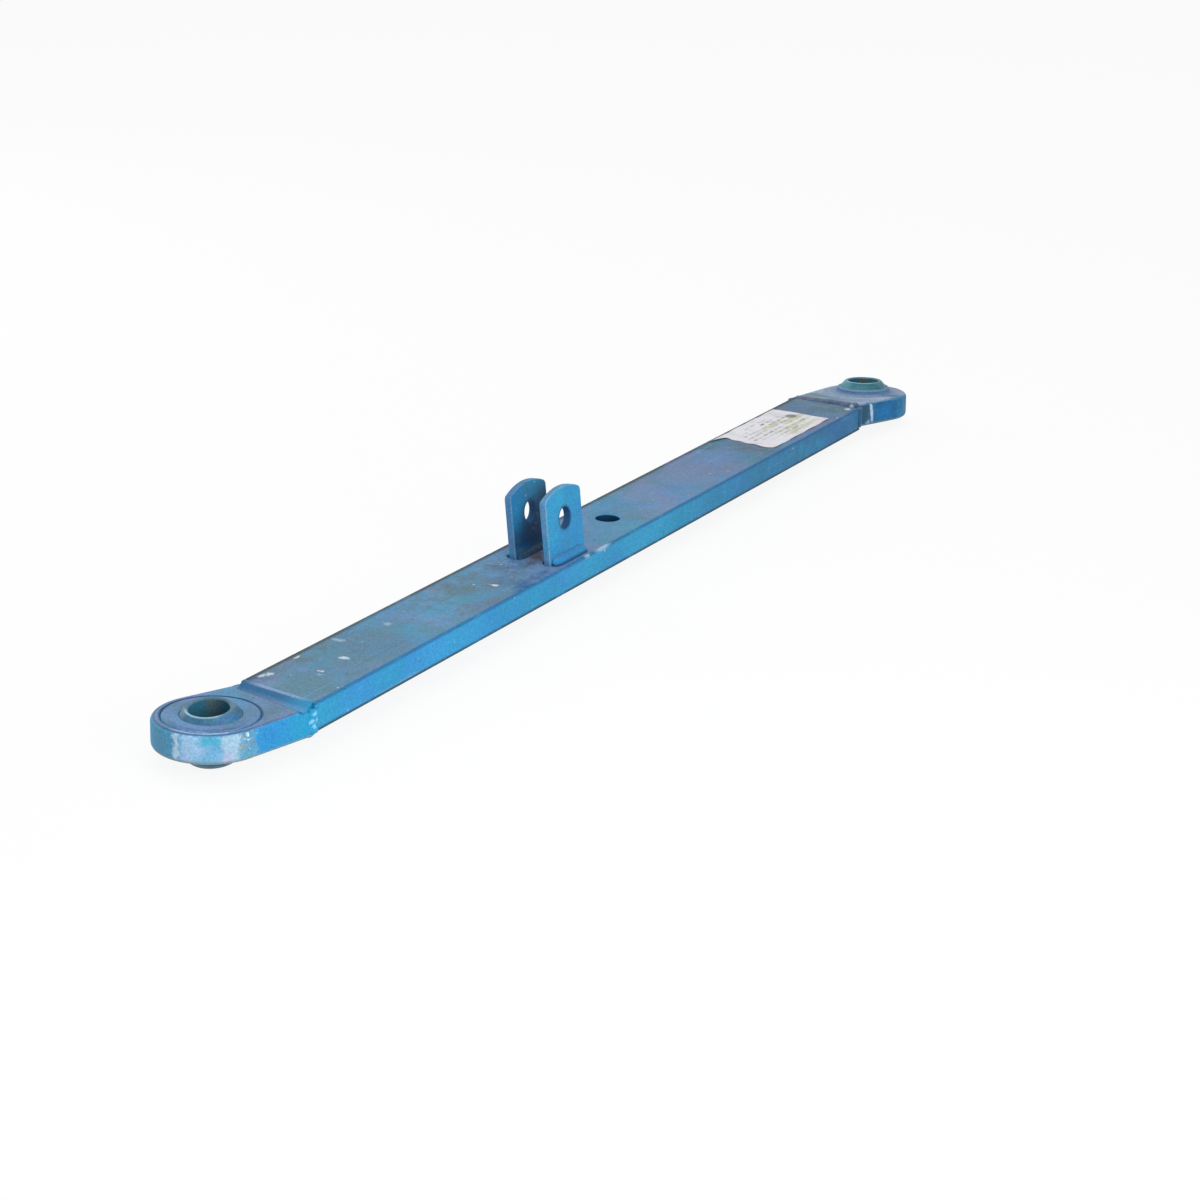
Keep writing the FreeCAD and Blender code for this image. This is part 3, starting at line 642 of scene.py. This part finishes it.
weldCoat = {
    "clouding": 30.0, "bump": 0.22, "dirt": 0.25, "dirty": ("plain", "rear", "ear"),
    "hollows": ((24, 66, 96), 0.45, 55.0, 0.4, 0.65),
    # the front top run: where its ridge starts, and how it turns from straight across
    "start": (0.0472, -0.0485), "skew": 0.149,
    # the ramp's dark blue is painted shade on its slope
    "ramp": ((34, 88, 130), 0.85), "foot": ((98, 124, 162), 0.85), "footFrom": (-0.004, -0.0105),
    "nearEnd": (-0.02, -0.05), "nearBlue": (paint["blue"], 0.55),
    "ridgeFrom": (-0.0016, -0.0002), "ridgeEnds": (-0.042, 0.004, 0.009),
    # a painted highlight along the ridge
    "ridge": ((146, 164, 202), 0.66, 40.0, 0.2, 0.5),
}
weldLayers = {
    # mark, then where it lies: on chips, or by a step in the height of the normal (facing) or place (xyz)
    "plain": [], "frontTop": [],
    "frontSide": [
        ((paint["blue"], 0.7),),
        (((56, 112, 140), 0.55, 190.0, 0.5, 0.64),),
        (((150, 210, 236), 0.58), "chips", [
            (40.5, -54, 10, 1.5, 4, 1.7), (46, -54, 10, 1.2, 4, 1.3), (42, -54, 4.5, 2.2, 4, 1.2),
            (45.5, -54, 1, 1.3, 4, 1.6), (40.5, -54, -2, 1.5, 4, 1.5), (47, -54, 5, 1.0, 4, 1.5)], 0.6),
    ],
    "rear": [
        (((34, 84, 112), 0.7),),
        (((60, 82, 92), 0.8), "facing", 0.2, 0.6),
        (((116, 112, 150), 0.65, 42.0, 0.36, 0.56, (0.8, 0.3, 0.2)), "facing", 0.2, 0.6),
        (((176, 200, 212), 0.7), "chips", [(953, -46, 17, 3.4, 2.6, 4), (960, -43, 17, 2.4, 2.4, 4)], 0.4),
        (((186, 212, 224), 0.75), "chips", [
            (961, -53, -1, 2.0, 6, 2.4), (966, -53, 2.5, 1.4, 6, 2.6), (969, -52, -1.5, 2.4, 6, 2.0)], 0.4),
        (((46, 74, 78), 0.55, 150.0, 0.52, 0.66),),
    ],
    "ear": [
        # painted shade: the fillet is painted down to the plate's blue against the extra light on its sloping
        # face, and darker still at its toe
        (((32, 128, 184), 0.85),),
        (((16, 58, 102), 0.85), "xyz", 0.02, 0.0182),
        (((214, 228, 228), 0.9), "chips", [(397.5, -31.5, 19.5, 2.2, 2.4, 2.2)], 0.25),
    ],
    "earShade": [
        (((18, 44, 66), 0.85),),
        (((70, 62, 52), 0.4, 60.0, 0.4, 0.7),),
    ],
}


def layRamp(coat):
    # painted shade down the ramp, paler at its foot, with a painted highlight along the ridge that fades out
    # at its ends
    tree, values, xyz = coat["tree"], coat["values"], coat["xyz"]
    skewed = product(tree, maths(tree, "SUBTRACT", xyz[1], values["start"][1]), values["skew"])
    past = maths(tree, "SUBTRACT", maths(tree, "SUBTRACT", xyz[0], values["start"][0]), skewed)
    layMark(coat, "ramp")
    layMark(coat, "foot", (past, "footFrom"))
    layMark(coat, "nearBlue", (xyz[1], "nearEnd"))
    layMark(coat, "ridge", (past, "ridgeFrom"), (xyz[1], "ridgeEnds"))


def whereOnWeld(coat, kind, *values):
    if kind == "chips":
        return marked(coat, *values)
    return step(coat["tree"], coat[kind][2], *values)


def weldPaint(kind):
    # painted weld metal: darker hollows, then what each run shows in its own place
    coat = startCoat(kind + "WeldPaint", weldCoat)
    layMark(coat, "hollows")
    if kind == "frontTop":
        layRamp(coat)
    for mark, *place in weldLayers[kind]:
        layMark(coat, mark, *([whereOnWeld(coat, *place)] if place else []))
    if kind in weldCoat["dirty"]:
        layDirt(coat)
    return finishCoat(coat)


def dress(node, material):
    # the CAD node keeps its mesh and takes a better material in its slots
    if not node.material_slots:
        node.data.materials.append(material)
    for each in node.material_slots:
        each.material = material


upward = Vector((0, 0, 1))
rearAxis = Vector(mounts["rear_ball_bore"]["axis"]).normalized()
frontForging = eyePaint("frontEyePaint", eyeCoat | sheenAndWearCoat, frontBall, upward, laySheenAndWearSide)
rearForging = eyePaint("rearEyePaint", eyeCoat | hubSideCoat, rearBall, rearAxis, layHubSide)
plates = earPaint(earCoat)
coats = {
    "arm_bar": barPaint(barCoat), "front_eye": frontForging, "front_retaining_ring": frontForging,
    "rear_eye": rearForging, "rear_retaining_ring": rearForging,
    "front_ball": ballPaint("frontBallPaint", ballCoat, mounts["front_ball_bore"]),
    "rear_ball": ballPaint("rearBallPaint", ballCoat, mounts["rear_ball_bore"]),
    "left_ear": plates, "right_ear": plates,
}
for nodeName, material in coats.items():
    dress(nodes[nodeName], material)
print("paint made for", len(coats), "pieces")


# meshes from grids

def gridFaces(rows, columns, closed):
    # quads between neighbouring rows and columns; a closed grid joins its last column to its first
    last = columns if closed else columns - 1
    i, j = np.meshgrid(np.arange(rows - 1), np.arange(last), indexing="ij")
    here, beside = i * columns + j, i * columns + (j + 1) % columns
    return np.stack([here, beside, beside + columns, here + columns], -1).reshape(-1, 4)


def makeMesh(name, points, faces, material, smooth=True):
    mesh = bpy.data.meshes.new(name)
    mesh.from_pydata(points.reshape(-1, 3).tolist(), [], [list(map(int, f)) for f in faces])
    mesh.materials.append(material)
    mesh.polygons.foreach_set("use_smooth", np.full(len(mesh.polygons), smooth))
    mesh.update()
    made = bpy.data.objects.new(name, mesh)
    scene.collection.objects.link(made)
    return made


def facesOutward(made):
    # merges the doubles of a closed mesh and turns its faces outward
    work = bmesh.new()
    work.from_mesh(made.data)
    bmesh.ops.remove_doubles(work, verts=work.verts, dist=1e-7)
    bmesh.ops.recalc_face_normals(work, faces=work.faces)
    work.to_mesh(made.data)
    work.free()
    made.data.update()


# weld beads

beads = {
    "samples": 88,                 # points round a bead's section
    "rounding": 2,                 # passes that round the section's corners
    "pitch": 0.0017,               # between ripples, metres
    "chevron": 0.0014,             # how far the middle of a ripple leads its ends
    "uneven": 0.25,                # spread of the ripples' heights, as a share
    "wander": 0.00022, "wanderRows": 21,    # how far the toes wander, over how many rows that is smoothed
    "perPitch": 5,                 # rows of points in one ripple
    "margins": (0.02, 0.02, 0.45),    # where the end sections are cut on a run along x, y or z, as a share
    "lead": (0.31, 0.17, 0.05),    # added to the crown's direction, so that one corner clearly comes first
    "crown": (0.15, 0.6),          # turn towards the crown where ripples begin, and over which they grow
    "root": 0.6,                   # how far the end poles lie from the middle towards the root
    "merge": 1e-6,
}
beadRuns = {
    # node: axis it runs along, direction its crown faces, height of its ripples, length of its tapered ends,
    # how far it stands past its solid so that its toes sink into the steel, coat
    "front_weld_top": (1, (0, 0, 1), 0.00003, 0.0006, 0.0002, "frontTop"),
    "front_weld_bottom": (1, (0, 0, -1), 0.00016, 0.003, 0.00035, "plain"),
    "rear_weld_top": (1, (0, 0, 1), 0.00016, 0.002, 0.00035, "rear"),
    "rear_weld_bottom": (1, (0, 0, -1), 0.00016, 0.003, 0.00035, "rear"),
    "front_weld_left": (2, (0, 1, 0), 0.00016, 0.002, 0.00035, "plain"),
    "front_weld_right": (2, (0, -1, 0), 0.0001, 0.0006, 0.0004, "frontSide"),
    "rear_weld_left": (2, (0, 1, 0), 0.00016, 0.002, 0.00035, "rear"),
    "rear_weld_right": (2, (0, -1, 0), 0.00016, 0.0015, 0.00035, "rear"),
    "left_ear_outer_weld": (0, (0, 0.7, 0.7), 0.00012, 0.006, 0.00015, "ear"),
    "left_ear_inner_weld": (0, (0, -0.7, 0.7), 0.00012, 0.006, 0.00015, "earShade"),
    "right_ear_inner_weld": (0, (0, 0.7, 0.7), 0.00012, 0.006, 0.00015, "earShade"),
    "right_ear_outer_weld": (0, (0, -0.7, 0.7), 0.00003, 0.007, 0.0001, "ear"),
}
weldCoats = {kind: weldPaint(kind) for kind in weldLayers}


def sectionAt(node, axis, station):
    # outline of a node where a plane across the axis cuts it, walked round in order
    work = bmesh.new()
    work.from_mesh(node.data)
    bmesh.ops.remove_doubles(work, verts=work.verts, dist=beads["merge"])
    across = Vector([1.0 if k == axis else 0.0 for k in range(3)])
    found = bmesh.ops.bisect_plane(work, geom=work.verts[:] + work.edges[:] + work.faces[:],
                                   plane_co=across * station, plane_no=across, clear_outer=True)
    edges = [e for e in found["geom_cut"] if isinstance(e, bmesh.types.BMEdge)]
    joined = {}
    for edge in edges:
        a, b = edge.verts
        joined.setdefault(a, []).append(b)
        joined.setdefault(b, []).append(a)
    start = edges[0].verts[0]
    walk, before, here = [start], None, start
    while len(walk) <= len(joined):
        onward = [v for v in joined[here] if v is not before]
        if not onward or onward[0] is start:
            break
        before, here = here, onward[0]
        walk.append(here)
    outline = np.array([tuple(v.co) for v in walk])
    work.free()
    return outline


def evenLoop(outline, count, axis, lead):
    # the closed outline as evenly spaced points, run one way round from where it reaches furthest along lead
    x, y = (outline[:, k] for k in range(3) if k != axis)
    if np.sum(x * np.roll(y, -1) - np.roll(x, -1) * y) < 0:
        outline = outline[::-1]
    outline = np.roll(outline, -int(np.argmax(outline @ lead)), axis=0)
    ring = np.vstack([outline, outline[:1]])
    along = np.concatenate([[0], np.cumsum(np.linalg.norm(np.diff(ring, axis=0), axis=1))])
    wanted = np.linspace(0, along[-1], count, endpoint=False)
    return np.stack([np.interp(wanted, along, ring[:, k]) for k in range(3)], 1)


def rounded(loop, passes):
    # each pass moves every point halfway to the middle of its two neighbours
    for _ in range(passes):
        loop = loop * 0.5 + (np.roll(loop, 1, axis=0) + np.roll(loop, -1, axis=0)) * 0.25
    return loop


def rippledBead(nodeName, axis, crown, ripple, taper, swell, coat):
    # section between two end outlines, swollen a little; each row is pushed out by ripples that lead in the
    # middle like chevrons, only where it faces the crown, and each end closes to a pole at the bead's root
    low, high = (np.array(v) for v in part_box(nodeName))
    length = high[axis] - low[axis]
    margin = beads["margins"][axis]
    stations = low[axis] + length * np.array([margin, 1 - margin])
    lead = np.array(crown) + np.array(beads["lead"])
    first, last = (rounded(evenLoop(sectionAt(nodes[nodeName], axis, s), beads["samples"], axis, lead),
                           beads["rounding"]) for s in stations)
    rows = max(8, int(length / beads["pitch"] * beads["perPitch"]))
    v = np.linspace(0, 1, rows)
    reach = ((v * length + low[axis] - stations[0]) / (stations[1] - stations[0]))[:, None, None]
    grid = first[None] * (1 - reach) + last[None] * reach
    centre = grid.mean(axis=1, keepdims=True)
    outward = grid - centre
    outward[..., axis] = 0
    outward = outward / np.maximum(np.linalg.norm(outward, axis=2, keepdims=True), 1e-9)
    crownFrom, crownOver = beads["crown"]
    facing = np.clip((outward @ (np.array(crown) / np.linalg.norm(crown)) - crownFrom) / crownOver, 0, 1)
    phase = (v[:, None] * length + beads["chevron"] * (1 - (1 - facing) ** 2)) / beads["pitch"]
    wave = 1 - np.abs(2 * (phase - np.floor(phase)) - 1) ** 2
    perRipple = rng.normal(0, beads["uneven"], int(phase.max()) + 3)[np.floor(phase).astype(int)]
    smooth = beads["wanderRows"]
    wander = np.convolve(rng.normal(0, 1, rows + 2 * smooth - 2), np.ones(smooth) / smooth, "same")
    wander = wander[smooth - 1:smooth - 1 + rows, None] * beads["wander"]
    grid = grid + outward * (swell + facing * ripple * (wave + perRipple) + facing * wander)[..., None]
    toEnd = np.clip(np.minimum(v, 1 - v) * length / taper, 0, 1)
    endRound = np.sqrt(np.clip(1 - (1 - toEnd) ** 2, 0.0, 1))
    deepest = int(np.argmin(first @ np.array(crown)))
    root = centre * (1 - beads["root"]) + grid[:, deepest:deepest + 1] * beads["root"]
    grid = root + (grid - root) * endRound[:, None, None]
    made = makeMesh("bead_" + nodeName, grid, gridFaces(*grid.shape[:2], True), weldCoats[coat])
    facesOutward(made)
    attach(made, "arm")
    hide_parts(nodeName)


for runName, run in beadRuns.items():
    rippledBead(runName, *run)
print("weld beads made:", len(beadRuns))


# paper label

label = {
    "thickness": 0.00018, "columns": 120, "rows": 64,
    "gap": 0.00004,     # paste between the bar and the sheet
    "slant": 0.009,     # the front edge lies this much further back at its left end
    "corner": 0.009,    # radius of the front right corner
    "tip": 0.022, "tipWidth": 0.009, "tipPower": 1.6,    # how far the torn left tip runs forward
    "frayed": 0.0009, "frayTurns": 23.0, "frayStart": 0.02,
    "edgeLift": 0.0005, "liftReach": 0.0022, "liftTurns": (190, 130),
    "curl": 0.0016, "curlReach": 0.006,
    "wave": 0.00022, "waveTurns": (75, 60, 95), "waveBend": 2.0, "waveStart": 1.2,
}


def labelSheet(values):
    # a grid over the label's box; its front edge is a slanted line that rounds off at the right and runs out
    # to a torn tip at the left; the height is two crossed waves plus a lift that grows to the edges and tip
    low, high = (np.array(v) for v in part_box("paper_label"))
    u, v = np.meshgrid(np.linspace(0, 1, values["columns"]), np.linspace(0, 1, values["rows"]), indexing="ij")
    y = low[1] + (high[1] - low[1]) * v
    fromRight = y - low[1]
    fromLeft = high[1] - y
    front = low[0] + values["slant"] * fromRight / (high[1] - low[1])
    inCorner = np.clip(values["corner"] - fromRight, 0, None)
    front = front + values["corner"] - np.sqrt(np.clip(values["corner"] ** 2 - inCorner ** 2, 0, None))
    inTip = np.clip(1 - fromLeft / values["tipWidth"], 0, 1)
    front = front - values["tip"] * inTip ** values["tipPower"]
    fray = values["frayed"] * np.sin(v * values["frayTurns"])
    front = front + fray * np.clip(fromRight / values["frayStart"], 0, 1)
    x = front + (high[0] - front) * u
    toEdge = np.minimum(np.minimum(x - front, high[0] - x), np.minimum(fromRight, fromLeft))
    lifts = 0.5 + 0.5 * np.sin(x * values["liftTurns"][0] + y * values["liftTurns"][1])
    lift = values["edgeLift"] * np.exp(-toEdge / values["liftReach"]) * lifts
    curl = values["curl"] * np.exp(-(x - front) / values["curlReach"]) * inTip
    alongX, bent, alongY = values["waveTurns"]
    crossed = (np.sin(x * alongX + values["waveBend"] * np.sin(y * bent))
               * np.sin(y * alongY + values["waveStart"]))
    z = barHigh.z + values["gap"] + lift + curl + values["wave"] * (0.5 + 0.5 * crossed)
    return np.stack([x, y, z + values["thickness"]], -1), np.stack([x, y, z], -1)


def makeLabel(values, material):
    # the sheet's two sides and the walls round its edge
    top, bottom = labelSheet(values)
    rows, columns = top.shape[:2]
    count = rows * columns
    upper = gridFaces(rows, columns, False)
    lower = upper[:, ::-1] + count
    edge = np.concatenate([
        np.arange(columns), columns - 1 + columns * np.arange(1, rows),
        (rows - 1) * columns + np.arange(columns - 2, -1, -1), columns * np.arange(rows - 2, 0, -1)])
    following = np.roll(edge, -1)
    walls = np.stack([following, edge, edge + count, following + count], -1)
    points = np.concatenate([top.reshape(-1, 3), bottom.reshape(-1, 3)])
    made = makeMesh("paper_sheet", points, np.concatenate([upper, lower, walls]), material)
    facesOutward(made)
    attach(made, "arm")
    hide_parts("paper_label")


labelPrint = {
    "paper": (222, 221, 230), "roughness": 0.75, "gloss": 0.1,
    "grubby": (188, 190, 178), "dirt": (60.0, 7.0, 0.7, 0.6), "dirtFrom": (0.42, 0.72), "dirtShare": 0.7,
    # rules of broken length: the gaps are black, the rules white or grey
    "ink": (96, 102, 88), "inkShare": 0.85,
    "rules": {"Scale": 1.0, "Brick Width": 0.017, "Row Height": 0.0058,
              "Mortar Size": 0.0016, "Mortar Smooth": 0.1,
              "Color1": (1, 1, 1, 1), "Color2": (0.25, 0.25, 0.25, 1), "Mortar": (0, 0, 0, 1)},
    "rulesShift": (0.013, 0.006, 0), "rulesOffset": 0.37, "rulesSquash": 0.62, "squashEvery": 3,
    "printShift": 4, "printSize": (49, 21, 1000), "printSoft": 0.04,
    "fading": (120.0, 4.0, 0.6), "fadeFrom": (0.35, 0.6),
    "marks": [
        # colour, share, rag, softness, ellipsoids
        ((176, 182, 124), 0.55, (90.0, 0.01), 0.5, [
            (868, -37, 17, 32, 3.2, 9), (872, -27, 17, 34, 2.6, 9), (890, -18, 17, 22, 3.4, 9),
            (852, -12, 17, 22, 2.4, 9)]),
        ((84, 104, 92), 0.75, (200.0, 0.004), 0.4, [(894.5, -12.5, 17, 6.0, 5.0, 9)]),
    ],
    "fibres": (800.0, 4.0, 0.7), "bump": 0.25, "bumpSize": 0.0002,
}


def printedPaper(values):
    # off-white paper with dirt; plain grey rules of broken length stand where a real label is printed
    material, tree = newMaterial("labelPaper")
    shader = tree.nodes["Principled BSDF"]
    place = addNode(tree, "TexCoord").outputs["Object"]
    dirt = step(tree, noise(tree, place, *values["dirt"]), *values["dirtFrom"])
    colour = blendColours(tree, product(tree, dirt, values["dirtShare"]), values["paper"], values["grubby"])
    shifted = vector(tree, "ADD", place, values["rulesShift"])
    rules = addNode(tree, "TexBrick", dict(values["rules"], Vector=shifted), offset=values["rulesOffset"],
                    squash=values["rulesSquash"], squash_frequency=values["squashEvery"]).outputs["Color"]
    low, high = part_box("paper_label")
    middle = (low + high) * 500
    printed = (middle.x + values["printShift"], middle.y, middle.z, *values["printSize"])
    inPrint = spots(tree, place, [printed], values["printSoft"])
    faded = step(tree, noise(tree, place, *values["fading"]), *values["fadeFrom"])
    inked = product(tree, rules, inPrint, faded, values["inkShare"])
    colour = blendColours(tree, inked, colour, values["ink"])
    for markColour, share, rag, soft, rows in values["marks"]:
        mark = spots(tree, ragged(tree, place, *rag), rows, soft)
        colour = blendColours(tree, product(tree, mark, share), colour, markColour)
    tree.links.new(colour, shader.inputs["Base Color"])
    shader.inputs["Roughness"].default_value = values["roughness"]
    shader.inputs["Specular IOR Level"].default_value = values["gloss"]
    fibres = addNode(tree, "Bump", {"Height": noise(tree, place, *values["fibres"]),
                                              "Strength": values["bump"], "Distance": values["bumpSize"]})
    tree.links.new(fibres.outputs[0], shader.inputs["Normal"])
    return material


makeLabel(label, printedPaper(labelPrint))
print("label made")


# floor, backdrop and light

stageValues = {
    "radius": 12.0, "corners": 96, "floorColour": (236, 237, 238),
    "shade": 0.1,     # share of the real, shadowed floor in what the camera sees
    "world": 0.55,    # strength of the world as light
}


def seenOrMirrored(tree):
    # 1 for what the camera sees, also in gloss and through glass, then 1 for what it sees directly
    path = addNode(tree, "LightPath").outputs
    mirrored = maths(tree, "MAXIMUM", path["Is Glossy Ray"], path["Is Transmission Ray"])
    return maths(tree, "MAXIMUM", path["Is Camera Ray"], mirrored), path["Is Camera Ray"]


def floorPaint(values):
    # white to the camera and in gloss, less the shadow; plain grey to the light; clear from below
    material, tree = newMaterial("floorPale")
    tree.nodes.remove(tree.nodes["Principled BSDF"])
    seen, direct = seenOrMirrored(tree)
    plain = addNode(tree, "BsdfDiffuse", {"Color": tone(values["floorColour"])}).outputs[0]
    white = addNode(tree, "Emission", {"Color": (1, 1, 1, 1), "Strength": 1.0}).outputs[0]
    shaded = addNode(tree, "MixShader", {0: values["shade"], 1: white, 2: plain}).outputs[0]
    front = addNode(tree, "MixShader", {0: seen, 1: plain, 2: shaded}).outputs[0]
    behind = addNode(tree, "NewGeometry").outputs["Backfacing"]
    clear = addNode(tree, "BsdfTransparent").outputs[0]
    under = product(tree, behind, direct)
    final = addNode(tree, "MixShader", {0: under, 1: front, 2: clear}).outputs[0]
    tree.links.new(final, tree.nodes["Material Output"].inputs["Surface"])
    return material


def stageFloor(values):
    # a disc that touches the lowest point of both balls, so it slopes along x with the line between them
    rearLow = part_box("rear_ball")[0].z
    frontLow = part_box("front_ball")[0].z
    slope = (rearLow - frontLow) / (rearBall.x - frontBall.x)
    count = values["corners"]
    angle = np.linspace(0, 2 * math.pi, count, endpoint=False)
    x = frontBall.x + values["radius"] * np.cos(angle)
    y = frontBall.y + values["radius"] * np.sin(angle)
    z = frontLow + slope * (x - frontBall.x)
    points = np.concatenate([np.stack([x, y, z], -1), [[frontBall.x, frontBall.y, frontLow]]])
    around = np.arange(count)
    faces = np.stack([around, (around + 1) % count, np.full(count, count)], -1)
    made = makeMesh("floor", points, faces, floorPaint(values), smooth=False)


def stageWorld(values):
    # white where it is seen or mirrored, dimmer as light
    world = bpy.data.worlds.new("softWorld")
    scene.world = world
    world.use_nodes = True
    tree = world.node_tree
    seen = seenOrMirrored(tree)[0]
    strength = maths(tree, "ADD", product(tree, seen, 1.0 - values["world"]), values["world"])
    background = tree.nodes["Background"]
    background.inputs["Color"].default_value = (1, 1, 1, 1)
    tree.links.new(strength, background.inputs["Strength"])


lamps = {
    # metres and watts
    "keyLamp": {"place": (-0.35, -0.95, 0.4), "aim": (0.1, -0.02, 0.0), "size": 0.7, "power": 8.2},
    "skyLamp": {"place": (0.6, 0.3, 2.4), "aim": (0.5, 0.0, 0.0), "size": 2.2, "power": 23.0},
    "backLamp": {"place": (0.7, 1.8, 0.8), "aim": (0.5, 0.0, 0.0), "size": 1.2, "power": 8.0},
}


def addLamp(name, values):
    data = bpy.data.lights.new(name, "AREA")
    data.shape = "SQUARE"
    data.size = values["size"]
    data.energy = values["power"]
    made = bpy.data.objects.new(name, data)
    made.location = values["place"]
    toAim = Vector(values["aim"]) - Vector(values["place"])
    made.rotation_euler = toAim.to_track_quat("-Z", "Y").to_euler()
    scene.collection.objects.link(made)


stageFloor(stageValues)
stageWorld(stageValues)
for lampName, lampValues in lamps.items():
    addLamp(lampName, lampValues)
print("stage and lamps set")
